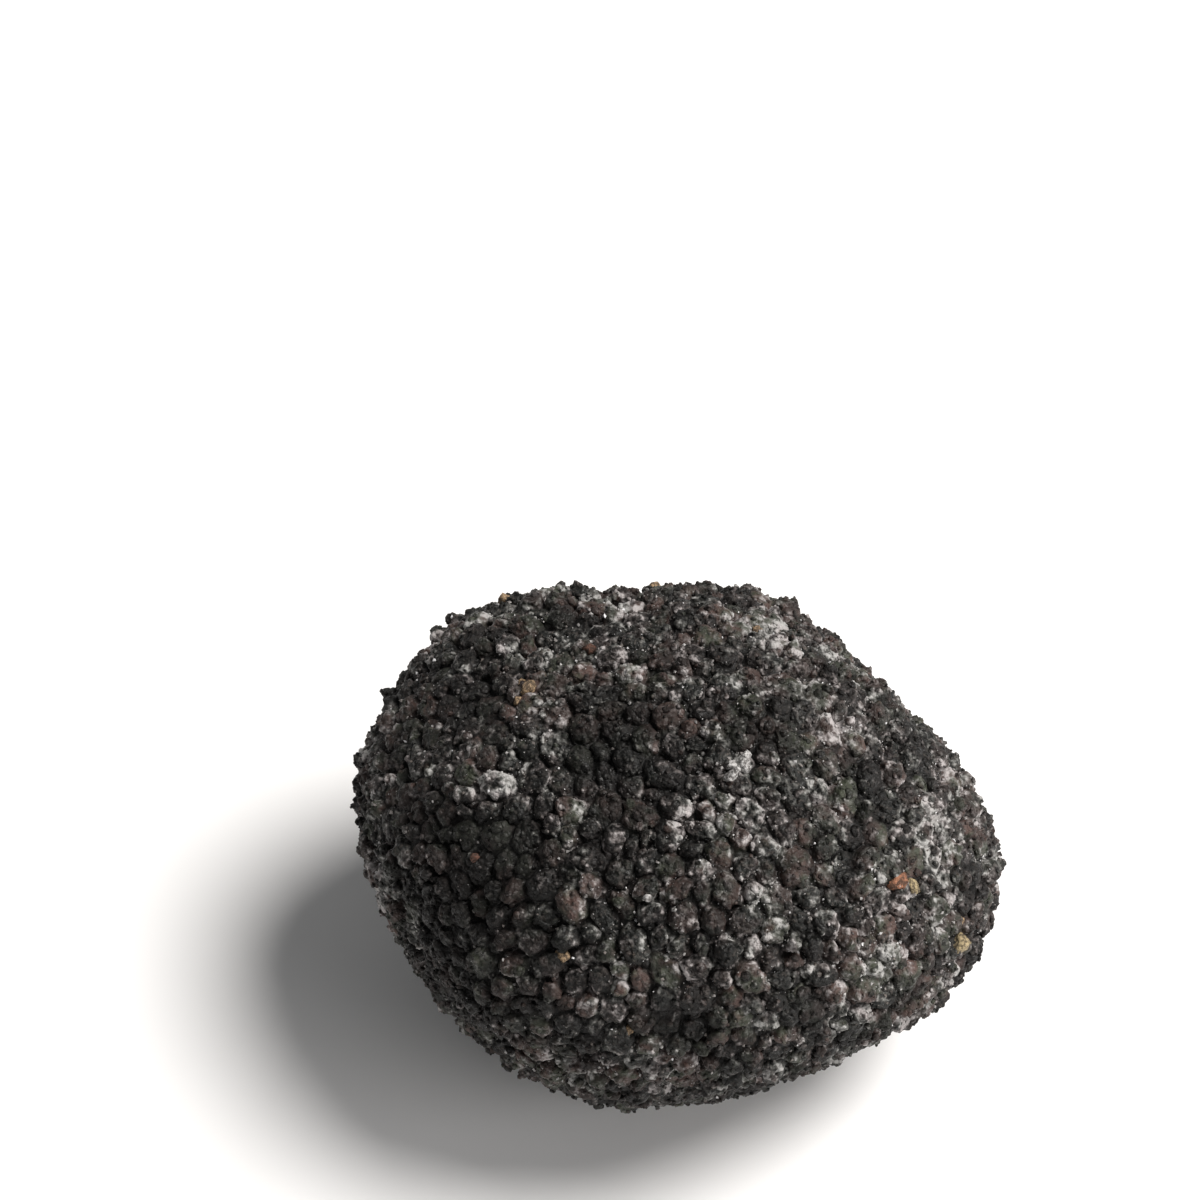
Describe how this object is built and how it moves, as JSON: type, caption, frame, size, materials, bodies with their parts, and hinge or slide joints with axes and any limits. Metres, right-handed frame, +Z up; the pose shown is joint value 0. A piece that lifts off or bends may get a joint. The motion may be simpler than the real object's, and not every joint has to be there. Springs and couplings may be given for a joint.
{
  "type": "black truffle",
  "caption": "Whole black truffle: a lumpy, rounded tuber covered in low pyramidal warts with pale dusty crevices, resting on a small level spot.",
  "frame": {"origin": "bottom centre of the truffle's box, on the surface that it rests on", "axes": "+X along the truffle's longest way, +Y across it towards its back, +Z up"},
  "size_m": [0.052, 0.045, 0.039],
  "materials": {
    "skin": "matte"
  },
  "bodies": {
    "root": {"truffle": "skin"}
  },
  "joints": []
}
